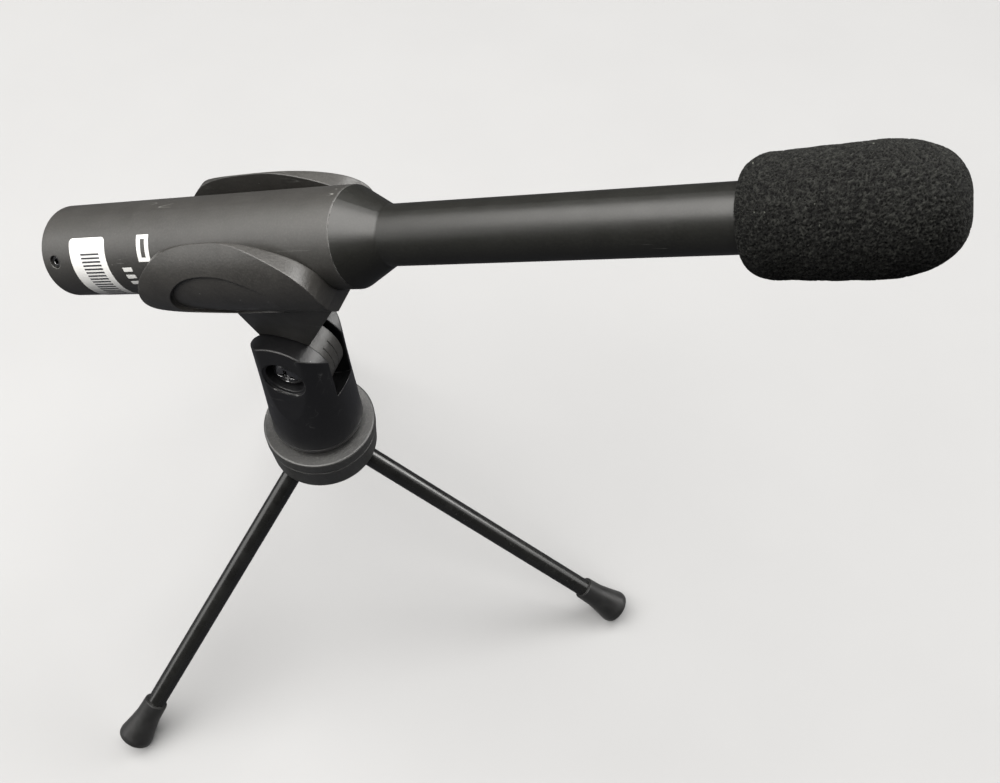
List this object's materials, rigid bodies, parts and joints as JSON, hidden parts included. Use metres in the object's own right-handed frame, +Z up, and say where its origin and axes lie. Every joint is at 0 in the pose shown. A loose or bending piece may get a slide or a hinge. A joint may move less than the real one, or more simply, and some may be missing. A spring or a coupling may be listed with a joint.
{
  "type": "desktop microphone",
  "caption": "Pencil-shaped desktop measurement microphone with a foam windscreen, held by a snap clip on a tilting swivel and a folding tripod.",
  "frame": {"origin": "on the table under the stand's axis", "axes": "+Z up along the stand's axis, +X the direction that the microphone faces; the microphone's axis is nosed up by 21.7 degrees in the XZ plane"},
  "size_m": [0.1937, 0.1552, 0.2094],
  "materials": {
    "barrel_coating": "matte dark grey-black coating",
    "tube_coating": "matte dark grey-black coating",
    "clip_plastic": "satin black nylon",
    "adapter_plastic": "satin black nylon",
    "hub_coating": "satin black, fine grain",
    "leg_lacquer": "gloss black",
    "foot_rubber": "black rubber",
    "screw_steel": "dark plated steel",
    "plain_steel": "zinc plated steel",
    "reducer_alloy": "blackened alloy",
    "washer_fibre": "black fibre",
    "cap_coating": "matte black",
    "socket_steel": "bright stainless",
    "board_green": "solder mask over glass epoxy",
    "chip_black": "moulded epoxy",
    "can_aluminium": "bright aluminium can",
    "shield_tin": "tinned steel",
    "rail_plastic": "black ABS",
    "capsule_alloy": "nickel plated",
    "sleeve_rubber": "soft black rubber",
    "dust_cloth": "black woven cloth",
    "lead_insulation": "PVC insulation",
    "label_paper": "white laminated label",
    "print_white": "white pad print",
    "windscreen_foam": "open-cell foam"
  },
  "bodies": {
    "stand_hub": {"hub_top_disc": "hub_coating", "hub_lower_disc": "hub_coating", "hub_stud": "plain_steel", "hub_clamp_screw": "screw_steel", "leg_pins": "plain_steel"},
    "leg_a": {"leg_rod_a": "leg_lacquer", "rubber_foot_a": "foot_rubber"},
    "leg_b": {"leg_rod_b": "leg_lacquer", "rubber_foot_b": "foot_rubber"},
    "leg_c": {"leg_rod_c": "leg_lacquer", "rubber_foot_c": "foot_rubber"},
    "adapter": {"swivel_adapter": "adapter_plastic", "thread_reducer": "reducer_alloy", "pivot_nut": "plain_steel", "friction_washer": "washer_fibre"},
    "tilt_screw": {"pivot_screw": "screw_steel"},
    "clip": {"mic_clip": "clip_plastic"},
    "microphone": {"mic_barrel": "barrel_coating", "front_tube": "tube_coating", "rear_cap": "cap_coating", "set_screw": "screw_steel", "usb_socket": "socket_steel", "circuit_board": "board_green", "board_chips": "chip_black", "board_capacitors": "can_aluminium", "shield_can": "shield_tin", "board_rails": "rail_plastic", "mic_capsule": "capsule_alloy", "capsule_sleeve": "sleeve_rubber", "capsule_dust_cloth": "dust_cloth", "grille_cap": "tube_coating", "capsule_leads": "lead_insulation", "lead_seal": "sleeve_rubber", "barrel_o_ring": "sleeve_rubber", "rating_label": "label_paper", "printed_mark": "print_white"},
    "windscreen": {"foam_windscreen": "windscreen_foam"}
  },
  "joints": [
    {"name": "leg_a_fold", "type": "hinge", "parent": "stand_hub", "child": "leg_a", "pos_m": [0.00798, 0.00061, 0.06884], "axis": [-0.0767, 0.9971, 0], "range_deg": [0, 49.9]},
    {"name": "leg_b_fold", "type": "hinge", "parent": "stand_hub", "child": "leg_b", "pos_m": [-0.00452, 0.0066, 0.06884], "axis": [-0.8251, -0.565, 0], "range_deg": [0, 49.9]},
    {"name": "leg_c_fold", "type": "hinge", "parent": "stand_hub", "child": "leg_c", "pos_m": [-0.00346, -0.00722, 0.06884], "axis": [0.9018, -0.4321, 0], "range_deg": [0, 49.9]},
    {"name": "adapter_turn", "type": "hinge", "parent": "stand_hub", "child": "adapter", "pos_m": [0, 0, 0.087], "axis": [0, 0, 1], "range_deg": [-180, 180]},
    {"name": "tilt_screw_turn", "type": "hinge", "parent": "adapter", "child": "tilt_screw", "pos_m": [0, 0, 0.11], "axis": [0, -1, 0], "continuous": true},
    {"name": "clip_tilt", "type": "hinge", "parent": "adapter", "child": "clip", "pos_m": [0, 0, 0.11], "axis": [0, 1, 0], "range_deg": [-58, 66]},
    {"name": "mic_slide", "type": "slide", "parent": "clip", "child": "microphone", "axis": [0.929, 0, 0.37], "range_m": [-0.012, 0.085]},
    {"name": "windscreen_slide", "type": "slide", "parent": "microphone", "child": "windscreen", "axis": [0.929, 0, 0.37], "range_m": [0, 0.035]}
  ]
}
